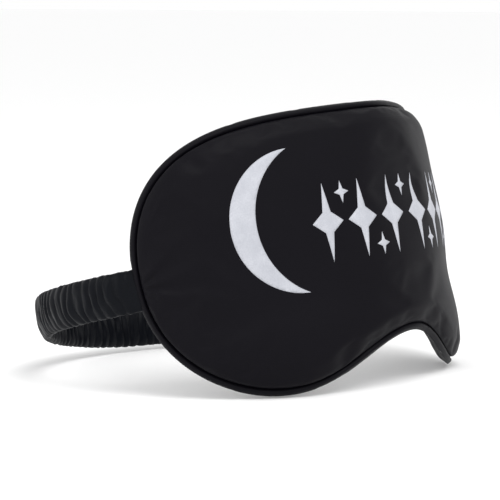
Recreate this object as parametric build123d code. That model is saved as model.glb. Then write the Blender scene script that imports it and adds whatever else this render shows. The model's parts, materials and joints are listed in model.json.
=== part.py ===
"""Sleep eye mask: padded satin front and rear panels round a blackout layer, with a gathered
elastic head strap.  It leans back on its two cheek lobes and on the rear of its strap.

Everything is first built in the mask's own upright frame (X across the face, Y towards the head,
Z up the face, seam surface in the middle), then leaned back and set down with its lowest point at
Z = 0 and the origin under the middle of its box."""
import os
from math import asin, atan2, cos, degrees, exp, hypot, pi, radians, sin, tanh

from build123d import *

# ---- driving dimensions, millimetres and degrees ----
seam_half_width = 101.0     # along the curved seam surface, centre to side seam
side_height = 7.0           # height of the outermost side point above the print's base line
top_rise = 46.2             # top edge above the side point
top_squareness = 4.5        # higher: flatter top edge with tighter corners
cheek_drop = 54.5           # full lower edge below the side point, before the nose is cut out
cheek_squareness = 3.0
corner_power = 1 / 2.2
nose_rise = 22.0            # how far the nose cut-out rises
nose_spread = 38.5          # half width of the nose cut-out
nose_turn = 16.5            # plan angle of each half at the nose
nose_softness = 9.0         # length over which the nose angle is reached
wrap_turn = 38.0            # further plan angle, nose to side seam
wrap_power = 1.3

rim = 2.6                   # flat sewn edge that stands out past the front panel
front_depth = 5.6           # front panel, seam surface to its face
rear_depth = 4.4            # rear panel, seam surface to its face
edge_round = 7.0            # height over which a panel rounds off at its edge
cover_wall = 0.7            # satin with its backing
fill_gap = 0.1              # between neighbouring layers
lining_thickness = 1.0      # blackout layer and elastic
stitch_width = 1.3          # seam thread round the blackout layer
stitch_inset = 0.6
lining_gap = 0.6            # blackout layer inside the seam thread

strap_height = 2.2          # middle of the strap, on the same scale as side_height
strap_stand_off = 3.0       # sides of the loop outside the side seam
strap_reach = 87.0          # from the hinge line to the rear of the loop, along the strap
strap_wall = 0.9
elastic_width = 12.0
elastic_thickness = 1.0
sleeve_side_room = 0.9      # beside the elastic, inside the satin tube
sleeve_puff = 0.8           # in front of and behind it
strap_width = elastic_width + 2 * (sleeve_side_room + strap_wall)
strap_thickness = elastic_thickness + 2 * (sleeve_puff + strap_wall)
elastic_tuck = 12.0         # length of elastic sewn inside the side seam
hinge_setback = 7.5         # hinge line behind the front panel's side
hinge_round = 6.0           # rounded end of the sewn elastic, about the hinge line
hinge_clearance = 0.6       # from there to the start of the strap
stretch_clearance = 0.4     # where the sides of the strap meet its rear
stretch_angle = 45.0        # position of that meeting on the loop
strip_steps = 16            # straight spans in each sewn end
tack_length = 1.4
tack_thickness = 0.7
tack_gap = 0.6              # from the sewn edge to the bar tack

print_thickness = 0.3
print_lift = 0.05           # above the satin
print_base = 14.0           # height of the row of printed stars, at their middles
moon_radius = 25.5
moon_place = -57.0          # along the seam surface, the moon's middle
moon_lift = 2.5             # above the row of stars
print_margin = 4.0          # the layer that the print is cut from stands this much taller than the moon
print_reach = moon_radius + moon_lift + print_margin
moon_bite = 12.0            # how far the circle that hollows the moon is set over
star_count = 8
star_start = -34.0
star_pitch = 14.0
star_tall, star_wide = 28.0, 12.5
spark_tall, spark_wide = 8.0, 6.0
spark_lift = 10.0           # small stars stand above and below the row by turns
star_waist = 0.26           # share of the half size where the flanks meet
lean_back = 12.9            # how far the top leans back when it stands on a surface

stations = [0, 0.09, 0.19, 0.31, 0.44, 0.57, 0.69, 0.79, 0.87, 0.93, 0.97, 0.995]


# ---- the curved seam surface ----
def heading(s):
    """Plan angle of the seam surface, radians, at s along it from the nose."""
    turn = nose_turn * tanh(abs(s) / nose_softness) + wrap_turn * (abs(s) / seam_half_width) ** wrap_power
    return radians(turn) if s >= 0 else -radians(turn)


def plan_point(s, offset=0.0):
    """X and Y at s along the seam surface, and offset towards the head."""
    steps = 200
    ds = s / steps
    middles = [heading((i + 0.5) * ds) for i in range(steps)]
    x = sum(cos(a) for a in middles) * ds
    y = sum(sin(a) for a in middles) * ds
    return x - offset * sin(heading(s)), y + offset * cos(heading(s))


def top_edge(s):
    return side_height + top_rise * (1 - (abs(s) / seam_half_width) ** top_squareness) ** corner_power


def bottom_edge(s):
    drop = cheek_drop * (1 - (abs(s) / seam_half_width) ** cheek_squareness) ** corner_power
    return side_height - drop + nose_rise * exp(-((s / nose_spread) ** 2))


def place(s, offset, height):
    x, y = plan_point(s, offset)
    return Vector(x, y, height)


def end_taper(s, depth, inset):
    """A panel's depth near its side seam, falling along a quarter round."""
    into_end = abs(s) + inset - (seam_half_width - edge_round)
    return depth if into_end <= 0 else depth * (1 - (into_end / edge_round * 0.93) ** 2) ** 0.5


def mirrored_stations(inset):
    reach = seam_half_width - inset
    half = [f * reach for f in stations]
    return [-s for s in reversed(half[1:])] + half


def outline(s, inset):
    """Top and bottom at s of the front panel's outline, drawn in by inset, or out where it is negative."""
    full = s * seam_half_width / (seam_half_width - inset)
    return top_edge(full) - inset, bottom_edge(full) + inset


# ---- lofted layers ----
def panel(side, near, depth, inset=0.0):
    """Pillow-shaped layer: flat at the seam surface, rounded at its edges.  side is -1 for the
    front and +1 for the head side; near and depth are offsets from the seam surface."""
    wires = []
    for s in mirrored_stations(inset):
        far = side * (near + end_taper(s, depth - near, inset))
        flat = side * near
        top, bottom = outline(s, inset)
        reach = min(edge_round - inset, 0.42 * (top - bottom))
        bend = flat + 0.55 * (far - flat)
        corners = [place(s, far, top - reach), place(s, far, bottom + reach)]
        wires.append(Wire([
            Edge.make_line(place(s, flat, bottom), place(s, flat, top)),
            Edge.make_bezier(place(s, flat, top), place(s, bend, top),
                             place(s, far, top - 0.45 * reach), corners[0]),
            Edge.make_line(*corners),
            Edge.make_bezier(corners[1], place(s, far, bottom + 0.45 * reach),
                             place(s, bend, bottom), place(s, flat, bottom)),
        ]))
    return Solid.make_loft(wires)


def plate(inset, thickness):
    """Flat layer with the seam surface in its middle."""
    half = thickness / 2
    wires = []
    for s in mirrored_stations(inset):
        top, bottom = outline(s, inset)
        wires.append(Wire.make_polygon(
            [place(s, -half, bottom), place(s, -half, top), place(s, half, top), place(s, half, bottom)]))
    return Solid.make_loft(wires)


seam_gap = lining_thickness / 2 + fill_gap


def cover_and_padding(side, depth, overhang):
    """Hollow satin panel and the filling in it, overhang mm larger all round than the front panel."""
    outer = panel(side, seam_gap, depth, -overhang)
    hollow = panel(side, lining_thickness / 2 - fill_gap, depth - cover_wall, cover_wall - overhang)
    padding = panel(side, seam_gap, depth - cover_wall - fill_gap, cover_wall + 2 * fill_gap - overhang)
    return outer - hollow, padding


# ---- strap, in its own plane through the hinge line ----
side_x, side_y = plan_point(seam_half_width)
strap_half_width = side_x + strap_stand_off
hinge_y = side_y + hinge_setback

# height of the hinge line above the table once the mask leans, and the strap's own slope
lean = radians(lean_back)


def leaned_height(y, z):
    return z * cos(lean) - y * sin(lean)


lowest = min(leaned_height(plan_point(s, seam_gap)[1], outline(s, -rim)[1])
             for s in mirrored_stations(-rim))
hinge_height = leaned_height(hinge_y, strap_height) - lowest
strap_slope = degrees(asin(hinge_height / hypot(strap_reach + strap_thickness / 2, strap_width / 2))
                      - atan2(strap_width / 2, strap_reach + strap_thickness / 2))
strap_plane = Plane(origin=(0, hinge_y, strap_height), x_dir=(1, 0, 0),
                    z_dir=(0, sin(radians(strap_slope - lean_back)), cos(radians(strap_slope - lean_back))))


def loop_band(thickness, width, rounding):
    """Half loop of the strap, in the strap plane, as a band standing on its edge."""
    rear_half = Pos(0, strap_reach) * Rectangle(4 * strap_half_width, 2 * strap_reach)
    ring = (Ellipse(strap_half_width + thickness / 2, strap_reach + thickness / 2)
            - Ellipse(strap_half_width - thickness / 2, strap_reach - thickness / 2)) & rear_half
    band = extrude(ring, width / 2, both=True)
    if rounding:
        long_edges = band.edges().filter_by(lambda e: e.length > strap_reach)
        band = fillet(long_edges, rounding)
    return band


def strap_pieces(band):
    """Left side, right side and rear of the half loop, parted by the stretch clearance."""
    size = 4 * (strap_half_width + strap_reach)
    wedge_edge = strap_reach * sin(radians(stretch_angle))
    start = hinge_round + hinge_clearance
    rear_box = Pos(0, wedge_edge + size / 2) * Box(size, size, size)
    side_length = wedge_edge - stretch_clearance - start
    side_box = Pos(0, start + side_length / 2) * Box(size, side_length, size)
    sides = band & side_box
    left = sides & (Pos(-size / 2, 0) * Box(size, size, size))
    right = sides & (Pos(size / 2, 0) * Box(size, size, size))
    return left, right, band & rear_box


def on_strap(shape):
    return strap_plane.location * shape


# ---- elastic ends and bar tacks at the side seams ----
def past_seam(past):
    """Run from the side seam along an arc that turns straight back in line with the strap: X, Y and
    heading, past mm beyond the seam."""
    seam_turn = heading(seam_half_width)
    arc_radius = (strap_half_width - side_x) / (1 - sin(seam_turn))
    turn = min(seam_turn + past / arc_radius, pi / 2)
    straight = past - (turn - seam_turn) * arc_radius
    return (side_x + arc_radius * (sin(turn) - sin(seam_turn)),
            side_y + arc_radius * (cos(seam_turn) - cos(turn)) + straight, turn)


def seam_strip(start, stop, half_thickness, half_height):
    """Strip that follows the seam surface, and past the side seam turns back with the strap."""
    wires = []
    for i in range(strip_steps + 1):
        s = start + (stop - start) * i / strip_steps
        low, high = strap_height - half_height, strap_height + half_height
        corners = []
        for n, h in ((-half_thickness, low), (-half_thickness, high), (half_thickness, high), (half_thickness, low)):
            if abs(s) <= seam_half_width:
                corners.append(place(s, n, h))
            else:
                x, y, turn = past_seam(abs(s) - seam_half_width)
                x, y = x - n * sin(turn), y + n * cos(turn)
                corners.append(Vector(x if s > 0 else -x, y, h))
        wires.append(Wire.make_polygon(corners))
    return Solid.make_loft(wires, ruled=True)


def elastic_end(side):
    """Elastic from inside the side seam to its rounded end at the hinge line."""
    past = 1.3 * (hinge_setback + hinge_round)
    strip = seam_strip(side * (seam_half_width - elastic_tuck), side * (seam_half_width + past),
                       elastic_thickness / 2, elastic_width / 2)
    ahead = Pos(0, hinge_y - seam_half_width, strap_height) * Box(4 * seam_half_width, 2 * seam_half_width, 100)
    knuckle = Pos(0, hinge_y, strap_height) * Rot(0, 90, 0) * Cylinder(hinge_round, 4 * seam_half_width)
    return strip & (ahead + knuckle)


def bar_tack(side):
    """Thread wrapped round the elastic just outside the side seam."""
    start = side * (seam_half_width + rim + tack_gap)
    stop = start + side * tack_length
    grow = fill_gap / 2
    block = seam_strip(start, stop, elastic_thickness / 2 + tack_thickness, elastic_width / 2 + tack_thickness)
    slot = seam_strip(start - side, stop + side, elastic_thickness / 2 + grow, elastic_width / 2 + grow)
    return block - slot


# ---- printed motif: a moon and a row of four-pointed stars ----
def star(tall, wide):
    """Four-pointed star with straight flanks, tips on the axes."""
    x, y = wide / 2, tall / 2
    waist = star_waist
    return Polygon((0, y), (waist * x, waist * y), (x, 0), (waist * x, -waist * y),
                   (0, -y), (-waist * x, -waist * y), (-x, 0), (-waist * x, waist * y), align=None)


def moon():
    """Crescent whose horns stand above and below the middle of its own circle."""
    return Circle(moon_radius) - Pos(moon_bite, 0) * Circle(hypot(moon_bite, moon_radius))


def printed(shape, s, height):
    """Prism of a flat shape, along the front panel's own normal at s."""
    turn = heading(s)
    spot = Plane(origin=place(s, -front_depth, height), x_dir=(cos(turn), sin(turn), 0),
                 z_dir=(sin(turn), -cos(turn), 0))
    return extrude(spot * shape, 9, both=True)


def print_skin():
    """Thin layer just proud of the front panel's face, that the prints are cut from."""
    near, far = front_depth + print_lift, front_depth + print_lift + print_thickness
    low, high = print_base - print_reach, print_base + print_reach
    return Solid.make_loft([
        Wire.make_polygon([place(s, -n, h) for n, h in ((near, low), (near, high), (far, high), (far, low))])
        for s in mirrored_stations(0.0) if abs(s) < seam_half_width - 2 * edge_round])


def print_film():
    prisms = [printed(moon(), moon_place + moon_radius / 2, print_base + moon_lift)]
    for i in range(star_count):
        s = star_start + i * star_pitch
        prisms.append(printed(star(star_tall, star_wide), s, print_base))
        if i < star_count - 1:
            lift = spark_lift if i % 2 == 0 else -spark_lift
            prisms.append(printed(star(spark_tall, spark_wide), s + star_pitch / 2, print_base + lift))
    skin = print_skin()
    return [solid for prism in prisms for solid in (prism & skin).solids()]


# ---- build every node in the upright frame ----
front_cover, front_padding = cover_and_padding(-1, front_depth, 0.0)
rear_cover, rear_padding = cover_and_padding(1, rear_depth, rim)
ends = {side: elastic_end(side) for side in (-1, 1)}
end_slots = {side: seam_strip(side * (seam_half_width - elastic_tuck - 1), side * (seam_half_width + rim),
                              lining_thickness, elastic_width / 2 + fill_gap) for side in (-1, 1)}
seam_ring = plate(stitch_inset, lining_thickness) - plate(stitch_inset + stitch_width, 3 * lining_thickness)
lining = plate(stitch_inset + stitch_width + lining_gap, lining_thickness)
for slot in end_slots.values():
    seam_ring, lining = seam_ring - slot, lining - slot

sleeve_band = (loop_band(strap_thickness, strap_width, strap_thickness * 0.42)
               - loop_band(strap_thickness - 2 * strap_wall, strap_width - 2 * strap_wall, 0))
sleeve = [on_strap(piece) for piece in strap_pieces(sleeve_band)]
elastic = [on_strap(piece) for piece in strap_pieces(loop_band(elastic_thickness, elastic_width, 0))]

nodes = {
    "front_cover": front_cover,
    "front_padding": front_padding,
    "blackout_layer": lining,
    "rear_padding": rear_padding,
    "rear_cover": rear_cover,
    "perimeter_stitching": seam_ring,
    "print_film": Compound(children=print_film()),
    "elastic_end_left": ends[1],
    "elastic_end_right": ends[-1],
    "bar_tack_left": bar_tack(1),
    "bar_tack_right": bar_tack(-1),
    "strap_sleeve_left": sleeve[1],
    "strap_sleeve_right": sleeve[0],
    "strap_sleeve_rear": sleeve[2],
    "elastic_left": elastic[1],
    "elastic_right": elastic[0],
    "elastic_rear": elastic[2],
}

# ---- lean back, set down, and write one file for each node ----
leaned = {name: Rot(-lean_back, 0, 0) * shape for name, shape in nodes.items()}
boxes = [shape.bounding_box() for shape in leaned.values()]
low_y, high_y = min(b.min.Y for b in boxes), max(b.max.Y for b in boxes)
settle = Pos(0, -(low_y + high_y) / 2, -min(b.min.Z for b in boxes))
hinge_line = settle * Rot(-lean_back, 0, 0) * Pos(0, hinge_y, strap_height)

os.makedirs("parts", exist_ok=True)
for name, shape in leaned.items():
    export_step(settle * shape, f"parts/{name}.step")

print("hinge line", hinge_line.position, "strap slope", round(strap_slope, 2))
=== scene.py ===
import json
from math import cos, pi, radians, sin

import bmesh
import bpy
import numpy as np
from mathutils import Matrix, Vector, noise
from mathutils.bvhtree import BVHTree
from mathutils.geometry import delaunay_2d_cdt
from mathutils.kdtree import KDTree


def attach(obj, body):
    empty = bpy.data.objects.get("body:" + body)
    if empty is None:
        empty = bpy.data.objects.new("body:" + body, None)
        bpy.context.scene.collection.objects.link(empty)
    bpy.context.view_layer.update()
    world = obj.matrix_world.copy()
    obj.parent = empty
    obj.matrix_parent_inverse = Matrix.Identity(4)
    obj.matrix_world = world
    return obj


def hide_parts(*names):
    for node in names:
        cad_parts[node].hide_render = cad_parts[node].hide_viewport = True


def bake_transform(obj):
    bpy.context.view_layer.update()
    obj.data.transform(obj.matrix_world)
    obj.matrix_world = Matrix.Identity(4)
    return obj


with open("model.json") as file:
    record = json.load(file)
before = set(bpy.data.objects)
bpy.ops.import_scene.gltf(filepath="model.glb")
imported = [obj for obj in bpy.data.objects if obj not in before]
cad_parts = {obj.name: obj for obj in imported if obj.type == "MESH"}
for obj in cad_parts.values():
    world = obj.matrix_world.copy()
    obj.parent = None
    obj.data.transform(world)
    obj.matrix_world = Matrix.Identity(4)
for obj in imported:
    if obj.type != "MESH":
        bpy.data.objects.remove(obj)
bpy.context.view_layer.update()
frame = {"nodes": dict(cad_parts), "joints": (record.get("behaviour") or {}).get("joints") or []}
scene = bpy.context.scene
mm = 0.001
print("frame loaded:", len(frame["nodes"]), "nodes")


# the mask's own upright frame, in millimetres: X across the face, Y to the head, Z up the face
maskForm = {
    "halfWidth": 101.0,       # along the seam, nose to side
    "sideHeight": 7.0,
    "topRise": 46.2,
    "topSquareness": 4.5,
    "cheekDrop": 54.5,
    "cheekSquareness": 3.0,
    "cornerPower": 1 / 2.2,
    "noseRise": 22.0,
    "noseSpread": 38.5,
    "noseTurn": 16.5,         # plan angles, degrees
    "noseSoftness": 9.0,
    "wrapTurn": 38.0,
    "wrapPower": 1.3,
    "rim": 2.6,               # sewn edge that stands out past the front panel
    "leanBack": 12.9,         # degrees
    "hingeSetback": 7.5,
    "strapHeight": 2.2,
}


def planCurve():
    # plan of the seam surface by small steps from the nose: distance, x, y, heading
    f = maskForm
    s = np.linspace(0, f["halfWidth"] + 30, 1311)
    held = np.minimum(s, f["halfWidth"])
    turn = f["noseTurn"] * np.tanh(s / f["noseSoftness"])
    turn = turn + f["wrapTurn"] * (held / f["halfWidth"]) ** f["wrapPower"]
    turn = np.radians(turn)
    mid = (turn[1:] + turn[:-1]) / 2
    step = s[1] - s[0]
    x = np.concatenate([[0], np.cumsum(np.cos(mid) * step)])
    y = np.concatenate([[0], np.cumsum(np.sin(mid) * step)])
    return s, x, y, turn


planS, planX, planY, planTurn = planCurve()


def onMask(s, depth, height):
    # s along the seam surface, depth towards the head, height up the face -> upright frame
    s, depth, height = (np.asarray(v, float) for v in (s, depth, height))
    size = np.abs(s)
    turn = np.interp(size, planS, planTurn)
    x = np.interp(size, planS, planX) - depth * np.sin(turn)
    y = np.interp(size, planS, planY) + depth * np.cos(turn)
    return np.stack([np.sign(s) * x, y, height + 0 * x], -1)


swing = next(j for j in frame["joints"] if j["name"] == "strap_swing")
stretch = next(j for j in frame["joints"] if j["name"] == "strap_stretch")
hingePlace = Vector(swing["pos_m"])
hingeY = float(np.interp(maskForm["halfWidth"], planS, planY)) + maskForm["hingeSetback"]
leanCos, leanSin = cos(radians(maskForm["leanBack"])), sin(radians(maskForm["leanBack"]))
setDown = (hingePlace.y / mm - (hingeY * leanCos + maskForm["strapHeight"] * leanSin),
           hingePlace.z / mm - (maskForm["strapHeight"] * leanCos - hingeY * leanSin))


def toWorld(points):
    # leans the upright frame back, sets it on the floor, and goes to metres
    p = np.asarray(points, float)
    y = p[..., 1] * leanCos + p[..., 2] * leanSin + setDown[0]
    z = p[..., 2] * leanCos - p[..., 1] * leanSin + setDown[1]
    return np.stack([p[..., 0], y, z], -1) * mm


def topEdge(s):
    f = maskForm
    side = np.clip(1 - (np.abs(s) / f["halfWidth"]) ** f["topSquareness"], 0, 1) ** f["cornerPower"]
    return f["sideHeight"] + f["topRise"] * side


def bottomEdge(s):
    f = maskForm
    side = np.clip(1 - (np.abs(s) / f["halfWidth"]) ** f["cheekSquareness"], 0, 1) ** f["cornerPower"]
    return f["sideHeight"] - f["cheekDrop"] * side + f["noseRise"] * np.exp(-(s / f["noseSpread"]) ** 2)


def outlineLoop(grow, count=900):
    # closed loop of (s, height), evenly spaced, grown outwards by grow
    a = np.sin(np.linspace(-pi / 2, pi / 2, 1200)) * maskForm["halfWidth"]
    loop = np.concatenate([np.stack([a, topEdge(a)], -1), np.stack([a, bottomEdge(a)], -1)[::-1]])
    loop = evenLoop(loop, count)
    if grow:
        ahead, behind = np.roll(loop, -3, 0), np.roll(loop, 3, 0)
        tangent = ahead - behind
        tangent /= np.linalg.norm(tangent, axis=1)[:, None]
        loop = loop + grow * np.stack([-tangent[:, 1], tangent[:, 0]], -1)
        loop = evenLoop(loop, count)
    return loop


def evenLoop(loop, count):
    closed = np.concatenate([loop, loop[:1]])
    run = np.concatenate([[0], np.cumsum(np.linalg.norm(np.diff(closed, axis=0), axis=1))])
    keep = np.concatenate([[True], np.diff(run) > 1e-9])
    at = np.linspace(0, run[-1], count, endpoint=False)
    return np.stack([np.interp(at, run[keep], closed[keep, k]) for k in (0, 1)], -1)


def softNoise(x, y, seed=0.0):
    # smooth noise about 0 for arrays
    flat = [noise.noise(Vector((float(a), float(b), seed))) for a, b in zip(np.ravel(x), np.ravel(y))]
    return np.array(flat).reshape(np.shape(x))


def makePiece(name, points, faces, material):
    mesh = bpy.data.meshes.new(name)
    mesh.from_pydata([tuple(p) for p in np.reshape(points, (-1, 3))], [], faces)
    bm = bmesh.new()
    bm.from_mesh(mesh)
    bmesh.ops.remove_doubles(bm, verts=bm.verts, dist=2e-5)
    bmesh.ops.recalc_face_normals(bm, faces=bm.faces)
    bm.to_mesh(mesh)
    bm.free()
    piece = bpy.data.objects.new(name, mesh)
    scene.collection.objects.link(piece)
    mesh.materials.append(material)
    for face in mesh.polygons:
        face.use_smooth = True
    return piece


# ---- materials ----
def nodeMaker(material):
    tree = material.node_tree

    def add(kind, **settings):
        node = tree.nodes.new(kind)
        for key, value in settings.items():
            if key.startswith("in_"):
                node.inputs[key[3:].replace("_", " ")].default_value = value
            else:
                setattr(node, key, value)
        return node
    return tree, add


satinLook = {
    "frontColour": (0.0018, 0.0015, 0.0028, 1),
    "frontLight": (0.0046, 0.0040, 0.0064, 1),
    "rearColour": (0.0017, 0.0015, 0.0027, 1),
    "rearLight": (0.0044, 0.0039, 0.0062, 1),
    "strapColour": (0.0014, 0.0018, 0.0030, 1),
    "strapLight": (0.0036, 0.0044, 0.0068, 1),
    "weaveSize": 0.00032,     # thread pitch in metres
    "weaveDepth": 0.00003,
    "slubScale": 900.0,
    "toneScale": 26.0,
    "frontRoughness": (0.42, 0.58),
    "rearRoughness": (0.40, 0.54),
    "strapRoughness": (0.34, 0.5),
    "specular": 0.075,
    "sheen": 0.004,
}


def satinMaterial(name, kind, weaveTurn=0.0):
    # fine warp and weft, with slow changes of tone and polish across the cloth
    look = satinLook
    roughness = look[kind + "Roughness"]
    material = bpy.data.materials.new(name)
    material.use_nodes = True
    tree, add = nodeMaker(material)
    shader = tree.nodes["Principled BSDF"]
    place = add("ShaderNodeTexCoord")
    turned = add("ShaderNodeMapping", in_Rotation=(0, weaveTurn, 0))
    tree.links.new(place.outputs["Object"], turned.inputs["Vector"])
    warp = add("ShaderNodeTexWave", bands_direction="X", wave_profile="SIN",
               in_Scale=0.314 / look["weaveSize"], in_Distortion=1.2, in_Detail=1.0)
    weft = add("ShaderNodeTexWave", bands_direction="Z", wave_profile="SIN",
               in_Scale=0.314 / (look["weaveSize"] * 2.4), in_Distortion=2.0, in_Detail=1.0)
    slub = add("ShaderNodeTexNoise", in_Scale=look["slubScale"], in_Detail=3.0)
    tone = add("ShaderNodeTexNoise", in_Scale=look["toneScale"], in_Detail=4.0, in_Roughness=0.55)
    for texture in (warp, weft, slub, tone):
        tree.links.new(turned.outputs["Vector"], texture.inputs["Vector"])
    cross = add("ShaderNodeMath", operation="MULTIPLY")
    tree.links.new(warp.outputs["Fac"], cross.inputs[0])
    tree.links.new(weft.outputs["Fac"], cross.inputs[1])
    thread = add("ShaderNodeMath", operation="ADD")
    tree.links.new(cross.outputs["Value"], thread.inputs[0])
    tree.links.new(slub.outputs["Fac"], thread.inputs[1])
    bump = add("ShaderNodeBump", in_Strength=0.35, in_Distance=look["weaveDepth"])
    tree.links.new(thread.outputs["Value"], bump.inputs["Height"])
    tree.links.new(bump.outputs["Normal"], shader.inputs["Normal"])
    colour = add("ShaderNodeMix", data_type="RGBA")
    colour.inputs["A"].default_value = look[kind + "Colour"]
    colour.inputs["B"].default_value = look[kind + "Light"]
    share = add("ShaderNodeMath", operation="MULTIPLY_ADD")
    share.inputs[1].default_value = 0.55
    tree.links.new(tone.outputs["Fac"], share.inputs[0])
    fine = add("ShaderNodeMath", operation="MULTIPLY")
    fine.inputs[1].default_value = 0.3
    tree.links.new(thread.outputs["Value"], fine.inputs[0])
    tree.links.new(fine.outputs["Value"], share.inputs[2])
    tree.links.new(share.outputs["Value"], colour.inputs["Factor"])
    tree.links.new(colour.outputs["Result"], shader.inputs["Base Color"])
    polish = add("ShaderNodeMapRange")
    polish.inputs["To Min"].default_value = roughness[0]
    polish.inputs["To Max"].default_value = roughness[1]
    tree.links.new(tone.outputs["Fac"], polish.inputs["Value"])
    tree.links.new(polish.outputs["Result"], shader.inputs["Roughness"])
    shader.inputs["Specular IOR Level"].default_value = look["specular"]
    shader.inputs["Sheen Weight"].default_value = look["sheen"]
    shader.inputs["Sheen Roughness"].default_value = 0.45
    shader.inputs["Sheen Tint"].default_value = (0.75, 0.76, 0.85, 1)
    return material


printLook = {
    "ink": (0.47, 0.48, 0.52, 1),
    "inkDark": (0.37, 0.38, 0.42, 1),
    "grainScale": 2600.0,
    "roughness": 0.55,
}


def printMaterial():
    look = printLook
    material = bpy.data.materials.new("printInk")
    material.use_nodes = True
    tree, add = nodeMaker(material)
    shader = tree.nodes["Principled BSDF"]
    place = add("ShaderNodeTexCoord")
    grain = add("ShaderNodeTexNoise", in_Scale=look["grainScale"], in_Detail=2.0)
    patch = add("ShaderNodeTexNoise", in_Scale=180.0, in_Detail=3.0)
    for texture in (grain, patch):
        tree.links.new(place.outputs["Object"], texture.inputs["Vector"])
    both = add("ShaderNodeMath", operation="MULTIPLY")
    tree.links.new(grain.outputs["Fac"], both.inputs[0])
    tree.links.new(patch.outputs["Fac"], both.inputs[1])
    spread = add("ShaderNodeMapRange")
    spread.inputs["From Min"].default_value = 0.1
    spread.inputs["From Max"].default_value = 0.4
    tree.links.new(both.outputs["Value"], spread.inputs["Value"])
    colour = add("ShaderNodeMix", data_type="RGBA")
    colour.inputs["A"].default_value = look["inkDark"]
    colour.inputs["B"].default_value = look["ink"]
    tree.links.new(spread.outputs["Result"], colour.inputs["Factor"])
    tree.links.new(colour.outputs["Result"], shader.inputs["Base Color"])
    bump = add("ShaderNodeBump", in_Strength=0.3, in_Distance=0.00004)
    tree.links.new(grain.outputs["Fac"], bump.inputs["Height"])
    tree.links.new(bump.outputs["Normal"], shader.inputs["Normal"])
    shader.inputs["Roughness"].default_value = look["roughness"]
    return material


threadLook = {
    "specular": 0.1,
    "black": (0.012, 0.012, 0.014, 1),
    "blackLight": (0.03, 0.03, 0.034, 1),
}


def twistedMaterial(name, dark, light, scale, roughness):
    # thread and woven elastic: fine twisted fibres
    material = bpy.data.materials.new(name)
    material.use_nodes = True
    tree, add = nodeMaker(material)
    shader = tree.nodes["Principled BSDF"]
    place = add("ShaderNodeTexCoord")
    twist = add("ShaderNodeTexWave", bands_direction="DIAGONAL",
                in_Scale=scale, in_Distortion=3.0, in_Detail=2.0)
    fibre = add("ShaderNodeTexNoise", in_Scale=scale * 2.0, in_Detail=4.0)
    for texture in (twist, fibre):
        tree.links.new(place.outputs["Object"], texture.inputs["Vector"])
    both = add("ShaderNodeMath", operation="MULTIPLY")
    tree.links.new(twist.outputs["Fac"], both.inputs[0])
    tree.links.new(fibre.outputs["Fac"], both.inputs[1])
    colour = add("ShaderNodeMix", data_type="RGBA")
    colour.inputs["A"].default_value = dark
    colour.inputs["B"].default_value = light
    tree.links.new(both.outputs["Value"], colour.inputs["Factor"])
    tree.links.new(colour.outputs["Result"], shader.inputs["Base Color"])
    bump = add("ShaderNodeBump", in_Strength=0.5, in_Distance=0.00008)
    tree.links.new(both.outputs["Value"], bump.inputs["Height"])
    tree.links.new(bump.outputs["Normal"], shader.inputs["Normal"])
    shader.inputs["Roughness"].default_value = roughness
    shader.inputs["Specular IOR Level"].default_value = threadLook["specular"]
    return material


materials = {
    "front": satinMaterial("frontSatin", "front"),
    "rear": satinMaterial("rearSatin", "rear"),
    "strap": satinMaterial("strapSatin", "strap", weaveTurn=0.6),
    "print": printMaterial(),
    "thread": twistedMaterial("seamThread", threadLook["black"], threadLook["blackLight"], 900.0, 0.6),
    "elastic": twistedMaterial("wovenElastic", threadLook["black"], threadLook["blackLight"], 500.0, 0.75),
}
print("materials made")


# ---- padded panels ----
frontPanel = {
    "acrossCount": 171,
    "upCount": 91,
    "depth": 5.6,             # seam to face
    "crown": 0.9,             # further rise in the middle
    "crownSpread": 12.0,
    "roundOver": 7.5,         # width of the rounded edge
    "overhang": 0.9,          # how far the edge rolls out over the groove
    "foldDepth": 0.55,        # folds that fan in from the strap
    "foldReach": 30.0,
    "foldCount": 9.0,         # folds in the fan, per radian
    "pucker": 0.22,           # small gathers along the seam
    "puckerPitch": 7.5,
    "puckerReach": 5.0,
    "troughDepth": 1.7,       # shallow dip across the cheek
    "troughHeight": -9.0,
    "troughWidth": 11.0,
    "troughAt": 40.0,         # along the seam surface, with the spread of its ends
    "troughSpread": 30.0,
    "uneven": 0.35,           # slow unevenness of the filling, with its size across and up
    "unevenSize": (24.0, 18.0),
    "seamDepth": 0.3,         # where the panel's edge lies, in front of the seam surface
    "held": 1.4,              # cloth nearer than this to the seam is held
}
rearPanel = {
    "acrossCount": 171,
    "upCount": 91,
    "depth": 4.0,
    "crown": 0.6,
    "roundOver": 9.0,
    "crownSpread": 14.0,
    "rimCrest": 1.1,          # the sewn edge stands this far forward of the seam
    "rimSpan": 3.0,
    "rimRipple": 0.16,
    "pucker": 0.3,            # small gathers along the edge
    "puckerPitch": 8.0,
    "puckerReach": 7.0,
    "uneven": 0.3,            # slow unevenness of the filling, with its size across and up
    "unevenSize": (26.0, 20.0),
    "seamDepth": 0.35,        # where the two sides meet, behind the seam surface
    "held": 2.8,              # cloth nearer than this to the edge is held
}
puff = {
    "frames": 14,
    "pressure": 2.4,
    "loosen": -0.008,         # cloth cut this share larger than the space it fills
    "cap": 1.6,               # furthest a point may move, in millimetres
    "quality": 6,
    "mass": 0.15,
    "tension": 12,
    "compression": 6,
    "shear": 4,
    "bending": 1.2,
}


def panelGrid(shape):
    # grid of (s, height) inside the outline, closer together at the edges
    a = np.linspace(-1, 1, shape["acrossCount"])
    b = np.linspace(-1, 1, shape["upCount"])
    a = 0.72 * np.sin(a * pi / 2) + 0.28 * a
    b = 0.72 * np.sin(b * pi / 2) + 0.28 * b
    full = maskForm["halfWidth"]
    s = a * full * 0.9985
    top, bottom = topEdge(s), bottomEdge(s)
    heights = (top + bottom)[:, None] / 2 + (top - bottom)[:, None] / 2 * b[None, :]
    return np.stack([np.repeat(s[:, None], len(b), 1), heights], -1)


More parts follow.
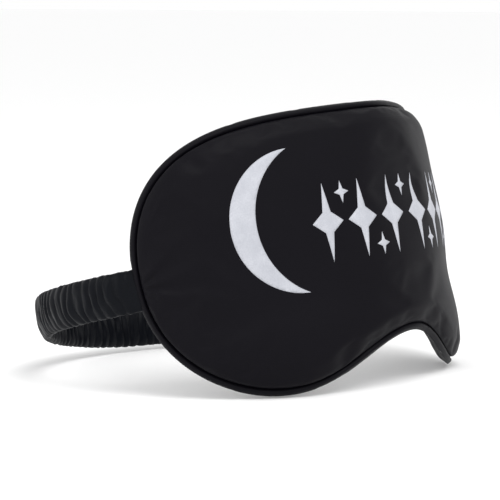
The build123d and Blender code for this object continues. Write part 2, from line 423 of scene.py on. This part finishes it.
def growOut(grid, grow, loop):
    # moves points outwards so that the grid's edge lies grow past the outline, fading inwards
    distance, outward = fromEdge(grid, loop)[:2]
    fade = np.exp(-distance / 14.0)
    return grid + outward * (grow * fade)[..., None]


def fromEdge(grid, loop):
    # distance in from the loop, direction out to it, and run along it of the nearest point
    flat = grid.reshape(-1, 2)
    nearest = np.empty(len(flat), int)
    for start in range(0, len(flat), 4000):
        part = flat[start:start + 4000]
        gap = ((part[:, None, :] - loop[None]) ** 2).sum(-1)
        nearest[start:start + 4000] = gap.argmin(1)
    ahead, behind = np.roll(loop, -2, 0), np.roll(loop, 2, 0)
    tangent = ahead - behind
    tangent /= np.linalg.norm(tangent, axis=1)[:, None]
    outward = np.stack([-tangent[:, 1], tangent[:, 0]], -1)
    inside = -((flat - loop[nearest]) * outward[nearest]).sum(1)
    step = np.linalg.norm(loop[1] - loop[0])
    shape = grid.shape[:-1]
    return (np.maximum(inside, 0).reshape(shape), outward[nearest].reshape(shape + (2,)),
            (nearest * step).reshape(shape))


def gridFaces(columns, rows, flip=False):
    faces = []
    for i in range(columns - 1):
        for j in range(rows - 1):
            a, b = i * rows + j, (i + 1) * rows + j
            faces.append((a, a + 1, b + 1, b) if flip else (a, b, b + 1, a + 1))
    return faces


def inflate(piece, pinned, shape):
    # cloth under light pressure, held at its seam, then frozen into the mesh
    before = np.empty(len(piece.data.vertices) * 3)
    piece.data.vertices.foreach_get("co", before)
    group = piece.vertex_groups.new(name="seam")
    group.add([int(i) for i in pinned], 1.0, "REPLACE")
    cloth = piece.modifiers.new("Cloth", "CLOTH")
    settings = cloth.settings
    settings.quality = shape["quality"]
    settings.mass = shape["mass"]
    settings.tension_stiffness = shape["tension"]
    settings.compression_stiffness = shape["compression"]
    settings.shear_stiffness = shape["shear"]
    settings.bending_stiffness = shape["bending"]
    settings.vertex_group_mass = "seam"
    settings.pin_stiffness = 1.0
    settings.use_pressure = True
    settings.uniform_pressure_force = shape["pressure"]
    settings.shrink_min = shape["loosen"]
    settings.effector_weights.gravity = 0.0
    cloth.collision_settings.use_collision = False
    cloth.point_cache.frame_start = 1
    cloth.point_cache.frame_end = shape["frames"]
    for step in range(1, shape["frames"] + 1):
        scene.frame_set(step)
    after = piece.evaluated_get(bpy.context.evaluated_depsgraph_get()).to_mesh()
    moved = np.empty(len(after.vertices) * 3)
    after.vertices.foreach_get("co", moved)
    move = (moved - before).reshape(-1, 3)
    length = np.linalg.norm(move, axis=1)
    cap = shape["cap"] * mm
    keep = np.where(length > 1e-12, cap * np.tanh(length / cap) / np.maximum(length, 1e-12), 1.0)
    piece.modifiers.clear()
    piece.vertex_groups.clear()
    piece.data.vertices.foreach_set("co", (before.reshape(-1, 3) + move * keep[:, None]).ravel())
    piece.data.update()
    scene.frame_set(1)
    print("inflated", piece.name, "largest move mm", round(float(length.max()) * 1000, 2))


def frontDepth(grid, distance, along):
    # how far the front face stands forward of the seam
    p = frontPanel
    share = np.clip(distance / p["roundOver"], 0, 1)
    depth = p["seamDepth"] + (p["depth"] - p["seamDepth"]) * np.sin(pi / 2 * share ** 0.72)
    depth += p["crown"] * (1 - np.exp(-np.maximum(distance - p["roundOver"], 0) / p["crownSpread"]))
    s, height = grid[..., 0], grid[..., 1]
    side = maskForm["halfWidth"] - np.abs(s)
    lift = height - maskForm["strapHeight"]
    radius = np.hypot(side, lift)
    angle = np.arctan2(lift, side)
    fan = np.sin(angle * p["foldCount"] + 1.1 * np.sign(s) + 0.9 * np.sin(radius / 9.0))
    depth += p["foldDepth"] * fan * np.exp(-radius / p["foldReach"]) * np.clip(distance / 3, 0, 1)
    drift = softNoise(along / p["puckerPitch"], distance / 9.0, 3.1)
    depth += p["pucker"] * drift * np.exp(-distance / p["puckerReach"]) * np.clip(distance / 1.2, 0, 1) * 2.0
    dip = np.exp(-((height - p["troughHeight"] - 0.07 * (np.abs(s) - 50)) / p["troughWidth"]) ** 2)
    depth -= p["troughDepth"] * dip * np.exp(-((np.abs(s) - p["troughAt"]) / p["troughSpread"]) ** 2)
    across, up = p["unevenSize"]
    depth += p["uneven"] * softNoise(s / across, height / up, 7.7)
    return depth


def makeFrontPanel():
    p = frontPanel
    loop = outlineLoop(0.0)
    grid = panelGrid(p)
    distance, outward, along = fromEdge(grid, loop)
    depth = frontDepth(grid, distance, along)
    roll = p["overhang"] * np.sin(pi * np.clip(distance / (p["roundOver"] * 0.5), 0, 1))
    spread = grid + outward * roll[..., None]
    points = toWorld(onMask(spread[..., 0], -depth, spread[..., 1])).reshape(-1, 3)
    columns, rows = p["acrossCount"], p["upCount"]
    piece = makePiece("front_panel", points, gridFaces(columns, rows), materials["front"])
    ring = toWorld(onMask(loop[:, 0], np.full(len(loop), -p["seamDepth"]), loop[:, 1]))
    tree = edgeTree(ring)
    pinned = [v.index for v in piece.data.vertices if tree.find(v.co)[2] < p["held"] * mm]
    inflate(piece, pinned, puff)
    closeBack(piece)
    smoothOver(piece, 1)
    return piece


def edgeTree(points):
    tree = KDTree(len(points))
    for i, point in enumerate(points):
        tree.insert(point, i)
    tree.balance()
    return tree


def closeBack(piece):
    # closes an open panel with a sheet on the seam surface
    bm = bmesh.new()
    bm.from_mesh(piece.data)
    edges = [e for e in bm.edges if e.is_boundary]
    bmesh.ops.holes_fill(bm, edges=edges, sides=0)
    caps = [f for f in bm.faces if len(f.verts) > 4]
    bmesh.ops.triangulate(bm, faces=caps, quad_method="BEAUTY", ngon_method="BEAUTY")
    bmesh.ops.recalc_face_normals(bm, faces=bm.faces)
    bm.to_mesh(piece.data)
    bm.free()


def smoothOver(piece, levels):
    # one round of subdivision, applied
    modifier = piece.modifiers.new("Subdivision", "SUBSURF")
    modifier.levels = modifier.render_levels = levels
    done = bpy.data.meshes.new_from_object(piece.evaluated_get(bpy.context.evaluated_depsgraph_get()))
    piece.modifiers.clear()
    old = piece.data
    piece.data = done
    bpy.data.meshes.remove(old)
    for face in piece.data.polygons:
        face.use_smooth = True


frontPiece = makeFrontPanel()
print("front panel", len(frontPiece.data.vertices))


def rearDepth(grid, distance, along):
    # how far the face side stands back from the seam
    p = rearPanel
    share = np.clip(distance / p["roundOver"], 0, 1)
    depth = p["seamDepth"] + (p["depth"] - p["seamDepth"]) * np.sin(pi / 2 * share ** 0.8)
    depth += p["crown"] * (1 - np.exp(-np.maximum(distance - p["roundOver"], 0) / p["crownSpread"]))
    drift = softNoise(along / p["puckerPitch"], distance / 9.0, 12.4)
    depth += p["pucker"] * drift * np.exp(-distance / p["puckerReach"]) * np.clip(distance / 1.5, 0, 1)
    across, up = p["unevenSize"]
    depth += p["uneven"] * softNoise(grid[..., 0] / across, grid[..., 1] / up, 21.0)
    return depth


def makeRearPanel():
    p = rearPanel
    base, loop = outlineLoop(0.0), outlineLoop(maskForm["rim"])
    grid = growOut(panelGrid(p), maskForm["rim"], base)
    distance, _, along = fromEdge(grid, loop)
    distance[0, :] = distance[-1, :] = distance[:, 0] = distance[:, -1] = 0.0
    back = rearDepth(grid, distance, along)
    points = toWorld(onMask(grid[..., 0], back, grid[..., 1])).reshape(-1, 3)
    columns, rows = p["acrossCount"], p["upCount"]
    piece = makePiece("rear_panel", points, gridFaces(columns, rows), materials["rear"])
    ring = toWorld(onMask(loop[:, 0], np.full(len(loop), 0.5), loop[:, 1]))
    tree = edgeTree(ring)
    pinned = [v.index for v in piece.data.vertices if tree.find(v.co)[2] < p["held"] * mm]
    inflate(piece, pinned, puff)
    # the sewn edge rolls forward of the seam, then the sheet lies flat behind the front panel
    lap = np.clip(distance / p["rimSpan"], 0, 1)
    front = p["seamDepth"] - (p["rimCrest"] + p["seamDepth"]) * np.sin(pi * lap ** 0.85) - 0.5 * lap
    ripple = softNoise(along / 3.2, distance * 0 + 4.0, 5.5)
    front += p["rimRipple"] * ripple * np.sin(pi * lap)
    sheet = toWorld(onMask(grid[..., 0], front, grid[..., 1])).reshape(-1, 3)
    bm = bmesh.new()
    bm.from_mesh(piece.data)
    added = [bm.verts.new(point) for point in sheet]
    for a, b, c, d in gridFaces(columns, rows, flip=True):
        bm.faces.new([added[a], added[b], added[c], added[d]])
    bmesh.ops.remove_doubles(bm, verts=bm.verts, dist=3e-5)
    bmesh.ops.recalc_face_normals(bm, faces=bm.faces)
    bm.to_mesh(piece.data)
    bm.free()
    smoothOver(piece, 1)
    return piece


rearPiece = makeRearPanel()
print("rear panel", len(rearPiece.data.vertices))


# ---- seam stitches in the groove ----
stitches = {
    "length": 2.1,
    "pitch": 2.9,
    "radius": 0.17,
    "outset": 0.15,           # just outside the front panel's edge
    "depth": -0.25,
    "sag": (0.35, -0.05, -0.15, -0.05, 0.35),       # each stitch dips back into the seam at its ends
    "taper": (0.6, 0.95, 1, 0.95, 0.6),
    "sides": 6,
}


def tubeAlong(path, radii, sides):
    # closed round tube along a list of points, for thread
    path = np.asarray(path, float)
    tangent = np.gradient(path, axis=0)
    tangent /= np.linalg.norm(tangent, axis=1)[:, None]
    side = np.cross(tangent, np.array([0.13, 0.21, 0.97]))
    side /= np.linalg.norm(side, axis=1)[:, None]
    up = np.cross(side, tangent)
    around = np.arange(sides) * 2 * pi / sides
    ring = (np.cos(around)[None, :, None] * side[:, None] + np.sin(around)[None, :, None] * up[:, None])
    points = path[:, None] + ring * np.asarray(radii)[:, None, None]
    faces = []
    for i in range(len(path) - 1):
        for j in range(sides):
            k = (j + 1) % sides
            faces.append((i * sides + j, i * sides + k, (i + 1) * sides + k, (i + 1) * sides + j))
    faces.append(tuple(range(sides))[::-1])
    faces.append(tuple(range((len(path) - 1) * sides, len(path) * sides)))
    return points.reshape(-1, 3), faces


def makeStitches():
    p = stitches
    loop = outlineLoop(p["outset"], 2400)
    run = np.linalg.norm(loop[1] - loop[0])
    perStitch, span = p["pitch"] / run, p["length"] / run
    points, faces = [], []
    for k in range(int(len(loop) / perStitch)):
        at = (k * perStitch + np.linspace(0, span, len(p["sag"]))).round().astype(int) % len(loop)
        path = toWorld(onMask(loop[at, 0], p["depth"] + np.array(p["sag"]), loop[at, 1]))
        radii = np.array(p["taper"]) * p["radius"] * mm
        more, closed = tubeAlong(path, radii, p["sides"])
        offset = len(points) * len(more)
        faces += [tuple(i + offset for i in face) for face in closed]
        points.append(more)
    return makePiece("seam_stitches", np.concatenate(points), faces, materials["thread"])


stitchPiece = makeStitches()
print("stitches", len(stitchPiece.data.vertices))


# ---- gathered strap ----
strapForm = {
    "halfWidth": 86.46,       # across the loop
    "reach": 82.5,            # hinge line to the rear of the loop
    "halfBand": 7.5,          # half the width of the gathered tube
    "halfThick": 1.9,
    "pitch": 4.1,             # one gather
    "foldHeight": 1.05,
    "edgeScallop": 0.6,
    "fineFold": 0.14,         # small creases between the gathers
    "wander": 0.75,           # how far the gathers stray from an even pitch
    "fork": 0.22,
    "sewnFlat": 0.3,          # share by which the tube is flatter where it is sewn in
    "sewnReach": 7.0,
    "bendFrom": -2.0,         # the stretch of tube between these two, past the hinge line
    "bendTo": 10.0,
    "splitAt": 12.0,          # the tube is cut here, in line with the stretch
    "stretchTo": 82.0,
    "step": 0.42,
    "around": 56,
    "tuck": 4.0,              # length hidden behind the sewn edge
    "lift": 0.2,              # the loop curls up towards its rear
    "twist": 4.0,             # and hangs lower on the left than on the right
}
strapSlope = np.arcsin(-stretch["axis"][2])
strapTilt = strapSlope - radians(maskForm["leanBack"])


def loopPoint(angle):
    # on the strap's ellipse; angle 0 at the right hinge, pi at the left hinge
    p = strapForm
    along = p["reach"] * sin(angle)
    lift = p["lift"] * sin(angle) + p["twist"] * sin(2 * angle)
    return (-p["halfWidth"] * cos(angle), hingeY + along * cos(strapTilt) + lift * sin(strapTilt),
            maskForm["strapHeight"] - along * sin(strapTilt) + lift * cos(strapTilt))


def smoothLine(points, per=40):
    # Catmull-Rom through the points
    p = np.asarray(points, float)
    p = np.concatenate([[2 * p[0] - p[1]], p, [2 * p[-1] - p[-2]]])
    line = []
    for i in range(1, len(p) - 2):
        for t in np.linspace(0, 1, per, endpoint=False):
            a, b, c, d = p[i - 1], p[i], p[i + 1], p[i + 2]
            line.append(0.5 * (2 * b + (c - a) * t + (2 * a - 5 * b + 4 * c - d) * t * t
                               + (3 * b - a - 3 * c + d) * t ** 3))
    line.append(p[-2])
    return np.array(line)


def strapLine():
    # middle of the strap from inside the right side seam round to inside the left one
    f = maskForm
    edge = f["halfWidth"] + f["rim"]
    height = f["strapHeight"]
    start = [onMask(-(f["halfWidth"] - strapForm["tuck"]), 2.0, height), onMask(-(edge + 0.5), 1.4, height)]
    finish = [onMask(edge + 0.5, 1.4, height), onMask(f["halfWidth"] - strapForm["tuck"], 2.0, height)]
    angles = np.linspace(0.045, pi - 0.045, 33)
    line = smoothLine(start + [np.array(loopPoint(a)) for a in angles] + finish)
    run = np.concatenate([[0], np.cumsum(np.linalg.norm(np.diff(line, axis=0), axis=1))])
    count = int(run[-1] / strapForm["step"])
    at = np.linspace(0, run[-1], count + 1)
    return at, np.stack([np.interp(at, run, line[:, k]) for k in range(3)], -1)


def strapSides(line):
    # directions across the band and out of it
    tangent = np.gradient(line, axis=0)
    tangent /= np.linalg.norm(tangent, axis=1)[:, None]
    upright = np.array([0.0, sin(strapTilt), cos(strapTilt)])
    band = upright - (tangent @ upright)[:, None] * tangent
    band /= np.linalg.norm(band, axis=1)[:, None]
    return band, np.cross(tangent, band)


def rounded(x):
    return np.sign(x) * np.abs(x) ** 0.72


def gatheredTube():
    # surface points of the whole strap, as rings along its run
    p = strapForm
    run, line = strapLine()
    total = run[-1]
    band, out = strapSides(line)
    psi = np.arange(p["around"]) * 2 * pi / p["around"]
    across = rounded(np.cos(psi))[None, :] + 0 * run[:, None]
    through = rounded(np.sin(psi))[None, :] + 0 * run[:, None]
    face = np.sign(through)
    runs = run[:, None] + 0 * across
    # gathers: phase drifts along and across the band, so folds curve, branch and fade
    wander = softNoise(runs / 10.0, across * 0.7 + face * 3.0, 1.7)
    fork = softNoise(runs / 5.0, across * 1.6 + face * 5.0, 9.2)
    bow = 0.34 * (across - 0.25) ** 2 - 0.16 * np.sin(across * 2.2 + runs / 31.0)
    phase = runs / p["pitch"] + bow + p["wander"] * wander + p["fork"] * fork + face * 0.21
    crest = np.abs(np.sin(pi * phase)) ** 0.75
    fine = np.abs(np.sin(pi * (2.3 * phase + 0.8 * fork))) - 0.5
    size = np.clip(0.85 + 1.1 * softNoise(runs / 6.0, across + face * 7.0, 4.4), 0.5, 1.5)
    edge = np.clip(1.15 - np.abs(across), 0, 1) ** 0.4
    fold = p["foldHeight"] * size * (crest - 0.45) + p["fineFold"] * fine
    scallopNoise = softNoise(runs / 4.0, across * 0 + np.sign(across) * 2, 6.1)
    scallop = p["edgeScallop"] * (crest - 0.55) * (0.8 + 0.9 * scallopNoise)
    halfBand = p["halfBand"] + scallop + 0.25 * softNoise(runs / 17.0, np.sign(across) * 3 + 0 * runs, 2.2)
    # the tube is flatter where it is sewn in
    sewn = np.exp(-np.minimum(runs, total - runs) / p["sewnReach"])
    thick = (p["halfThick"] + fold * edge) * (1 - p["sewnFlat"] * sewn)
    points = (line[:, None] + band[:, None] * (across * halfBand * (1 - 0.04 * sewn))[..., None]
              + out[:, None] * (through * np.maximum(thick, 0.5))[..., None])
    return run, toWorld(points)


def strapPart(name, rings, material):
    # closed tube from a run of rings
    count, sides = rings.shape[:2]
    faces = []
    for i in range(count - 1):
        for j in range(sides):
            k = (j + 1) % sides
            faces.append((i * sides + j, i * sides + k, (i + 1) * sides + k, (i + 1) * sides + j))
    points = list(rings.reshape(-1, 3))
    for end, order in ((0, -1), (count - 1, 1)):
        points.append(rings[end].mean(0))
        middle = len(points) - 1
        for j in range(sides):
            k = (j + 1) % sides
            pair = (end * sides + j, end * sides + k)
            faces.append((middle,) + (pair if order > 0 else pair[::-1]))
    piece = makePiece(name, np.array(points), faces, material)
    edges = {}
    for face in piece.data.polygons:
        for key in face.edge_keys:
            edges.setdefault(key, []).append(len(face.vertices))
    for edge in piece.data.edges:
        edge.use_edge_sharp = sorted(edges[edge.key]) == [3, 4]
    return piece


elasticForm = {
    "halfBand": 6.0,
    "halfThick": 0.5,
}


def flatRings():
    # elastic inside the tube, on the same line
    wide, thick = elasticForm["halfBand"], elasticForm["halfThick"]
    line = strapLine()[1]
    band, out = strapSides(line)
    corners = [(-wide, -thick), (wide, -thick), (wide, thick), (-wide, thick)]
    rings = [line + band * across + out * through for across, through in corners]
    return toWorld(np.stack(rings, 1))


def strapTrio(name, rings, material):
    # cut into the two roots and the loop between them, where the line passes splitAt along the stretch axis
    past = (rings.mean(1) - np.array(hingePlace)) @ np.array(stretch["axis"]) / mm
    first = int(np.argmax(past > strapForm["splitAt"]))
    last = len(past) - 1 - int(np.argmax(past[::-1] > strapForm["splitAt"]))
    right = strapPart(name + "_root_right", rings[:first + 1], material)
    left = strapPart(name + "_root_left", rings[last:], material)
    loop = strapPart(name + "_loop", rings[first:last + 1], material)
    for piece in (right, left):
        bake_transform(piece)
    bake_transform(loop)
    return right, left, loop


strapRun, strapRings = gatheredTube()
rightRoot, leftRoot, strapLoop = strapTrio("strap", strapRings, materials["strap"])
elasticParts = strapTrio("elastic_band", flatRings(), materials["elastic"])
print("strap run mm", round(float(strapRun[-1]), 1), "rings", len(strapRun))


# ---- printed moon and stars ----
printForm = {
    "base": 14.0,             # height of the row of stars
    "moonRadius": 25.5,
    "moonAt": -57.0,          # along the seam surface, the crescent's middle
    "moonLift": 2.5,
    "moonBite": 12.0,
    "starCount": 8,
    "starStart": -34.0,
    "starPitch": 14.0,
    "starSize": (28.0, 12.5),
    "sparkSize": (8.0, 6.0),
    "sparkLift": 10.0,
    "waist": 0.26,
    "film": 0.09,             # height of the ink above the satin
    "sunk": 0.05,             # and its underside below it
    "spacing": 1.1,
    "clear": 30.0,            # laid on from this far in front of the seam
}


def starOutline(size):
    wide, tall = size[1] / 2, size[0] / 2
    corners = []
    for k in range(4):
        a, b = k * pi / 2, (k + 0.5) * pi / 2
        corners.append((wide * sin(a), tall * cos(a)))
        turn = (np.sign(sin(b)), np.sign(cos(b)))
        corners.append((printForm["waist"] * wide * turn[0], printForm["waist"] * tall * turn[1]))
    corners = np.array(corners)
    ahead = np.roll(corners, -1, 0)
    parts = max(2, int(tall / 2.0))
    return np.concatenate([a + (b - a) * np.arange(parts)[:, None] / parts for a, b in zip(corners, ahead)])


def moonOutline():
    # outer arc down the left, inner arc back up
    r, bite = printForm["moonRadius"], printForm["moonBite"]
    inner = np.hypot(r, bite)
    horn = np.arctan2(r, -bite)
    down = np.linspace(pi / 2, 3 * pi / 2, 90, endpoint=False)
    up = np.linspace(2 * pi - horn, horn, 80, endpoint=False)
    outer = np.stack([r * np.cos(down), r * np.sin(down)], -1)
    back = np.stack([bite + inner * np.cos(up), inner * np.sin(up)], -1)
    return np.concatenate([outer, back])


def fillOutline(outline, spacing):
    # triangles over a flat outline, with inner points so that it can follow the cloth
    low, high = outline.min(0), outline.max(0)
    xs, ys = np.arange(low[0], high[0], spacing), np.arange(low[1], high[1], spacing)
    inner = np.stack(np.meshgrid(xs, ys), -1).reshape(-1, 2)
    start, stop = outline, np.roll(outline, -1, 0)
    side = stop - start
    gap = inner[:, None] - start[None]
    share = np.clip((gap * side).sum(-1) / (side ** 2).sum(-1), 0, 1)
    far = np.linalg.norm(gap - share[..., None] * side, axis=-1).min(1)
    crosses = (start[:, 1] > inner[:, 1:]) != (stop[:, 1] > inner[:, 1:])
    rise = np.where(side[:, 1] == 0, 1e-9, side[:, 1])
    where = start[:, 0] + (inner[:, 1:] - start[:, 1]) * side[:, 0] / rise
    inside = (crosses & (inner[:, :1] < where)).sum(1) % 2 == 1
    inner = inner[inside & (far > spacing * 0.45)]
    flat = [Vector(point) for point in np.concatenate([outline, inner])]
    border = list(range(len(outline)))
    points, _, faces = delaunay_2d_cdt(flat, [], [border], 1, 1e-5)[:3]
    return np.array([tuple(p) for p in points]), [tuple(face) for face in faces]


def inkShape(outline, s, height, cloth):
    # a printed shape laid straight back onto the front panel
    flat, triangles = fillOutline(outline, printForm["spacing"])
    turn = np.interp(abs(s), planS, planTurn) * np.sign(s)
    across = np.array([cos(turn), sin(turn), 0.0])
    outward = np.array([sin(turn), -cos(turn), 0.0])
    points = onMask(s, 0.0, height) + flat[:, :1] * across + flat[:, 1:] * np.array([0, 0, 1.0])
    away = Vector(toWorld(outward) - toWorld(np.zeros(3))).normalized()
    top, under = [], []
    for point in toWorld(points + outward * printForm["clear"]):
        spot, normal = cloth.ray_cast(Vector(point), -away, 2 * printForm["clear"] * mm)[:2]
        top.append(spot + normal * printForm["film"] * mm)
        under.append(spot - normal * printForm["sunk"] * mm)
    count = len(flat)
    faces = list(triangles) + [tuple(i + count for i in face[::-1]) for face in triangles]
    sides = [(a, b) for face in triangles for a, b in zip(face, face[1:] + face[:1])]
    known = set(sides)
    faces += [(b, a, a + count, b + count) for a, b in sides if (b, a) not in known]
    return np.array([tuple(p) for p in top + under]), faces


def makePrint(cloth):
    p = printForm
    shapes = [(moonOutline(), p["moonAt"] + p["moonRadius"] / 2, p["base"] + p["moonLift"])]
    for i in range(p["starCount"]):
        s = p["starStart"] + i * p["starPitch"]
        shapes.append((starOutline(p["starSize"]), s, p["base"]))
        if i < p["starCount"] - 1:
            lift = p["sparkLift"] if i % 2 == 0 else -p["sparkLift"]
            shapes.append((starOutline(p["sparkSize"]), s + p["starPitch"] / 2, p["base"] + lift))
    points, faces = [], []
    for outline, s, height in shapes:
        start = sum(len(part) for part in points)
        more, closed = inkShape(outline, s, height, cloth)
        points.append(more)
        faces += [tuple(i + start for i in face) for face in closed]
    return makePiece("printed_moon_and_stars", np.concatenate(points), faces, materials["print"])


frontMesh = bmesh.new()
frontMesh.from_mesh(frontPiece.data)
printPiece = makePrint(BVHTree.FromBMesh(frontMesh))
frontMesh.free()
print("print", len(printPiece.data.vertices))


# ---- the panels, stitches and print move with the mask body; the CAD parts that the built pieces stand for are hidden ----
for piece in (frontPiece, rearPiece, stitchPiece, printPiece):
    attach(piece, "mask")
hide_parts("front_cover", "front_padding")
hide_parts("rear_cover", "rear_padding")
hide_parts("perimeter_stitching")
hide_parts("print_film")
for piece, side in ((leftRoot, "left"), (rightRoot, "right")):
    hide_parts("strap_sleeve_" + side, "bar_tack_" + side)
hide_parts("strap_sleeve_rear")
for piece, side in zip(elasticParts, ("right", "left")):
    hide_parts("elastic_" + side, "elastic_end_" + side)
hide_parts("elastic_rear")

lining = frame["nodes"]["blackout_layer"]
lining.data.materials.clear()
lining.data.materials.append(materials["elastic"])


# ---- camera, light and floor ----
studio = {
    "aim": (-34.33, 39.80, 10.37),      # on the mask, in its own upright frame
    "azimuth": -53.79,
    "elevation": 5.33,
    "distance": 1.0166,
    "lens": 204.7,
    "worldColour": (1.0, 1.0, 1.0, 1),
    "worldStrength": 1.0,
    "floorColour": (0.97, 0.97, 0.97, 1),
    "lights": {
        "key": ((-0.35, -0.75, 1.25), 0.9, 10.0),      # place in metres, size, watts
        "fill": ((-1.3, -0.5, 0.35), 0.9, 1.5),
        "side": ((-1.1, 0.55, 0.55), 0.5, 2.5),
    },
}


def makeCamera():
    camera = bpy.data.objects.new("camera", bpy.data.cameras.new("camera"))
    scene.collection.objects.link(camera)
    azimuth, elevation = radians(studio["azimuth"]), radians(studio["elevation"])
    aim = Vector(toWorld(np.array(studio["aim"])))
    away = Vector((sin(azimuth) * cos(elevation), -cos(azimuth) * cos(elevation), sin(elevation)))
    camera.location = aim + away * studio["distance"]
    camera.rotation_euler = (-away).to_track_quat("-Z", "Y").to_euler()
    camera.data.lens = studio["lens"]
    camera.data.clip_start = 0.05
    scene.camera = camera


def makeLights():
    for name, (place, size, watts) in studio["lights"].items():
        light = bpy.data.objects.new(name, bpy.data.lights.new(name, "AREA"))
        light.data.size = size
        light.data.energy = watts
        light.location = place
        light.rotation_euler = (Vector((0, 0, 0.05)) - Vector(place)).to_track_quat("-Z", "Y").to_euler()
        scene.collection.objects.link(light)
    world = bpy.data.worlds.new("studio")
    scene.world = world
    world.use_nodes = True
    background = world.node_tree.nodes["Background"]
    background.inputs["Color"].default_value = studio["worldColour"]
    background.inputs["Strength"].default_value = studio["worldStrength"]


def makeFloor():
    reach = 12.0
    corners = [(-reach, -reach, 0), (reach, -reach, 0), (reach, reach, 0), (-reach, reach, 0)]
    material = bpy.data.materials.new("paleFloor")
    material.use_nodes = True
    shader = material.node_tree.nodes["Principled BSDF"]
    shader.inputs["Base Color"].default_value = studio["floorColour"]
    shader.inputs["Roughness"].default_value = 0.9
    shader.inputs["Specular IOR Level"].default_value = 0.1
    floor = makePiece("floor", corners, [(0, 1, 2, 3)], material)
    floor.location.z = -0.0004


makeCamera()
makeLights()
makeFloor()
scene.view_settings.view_transform = "Standard"
print("studio ready")
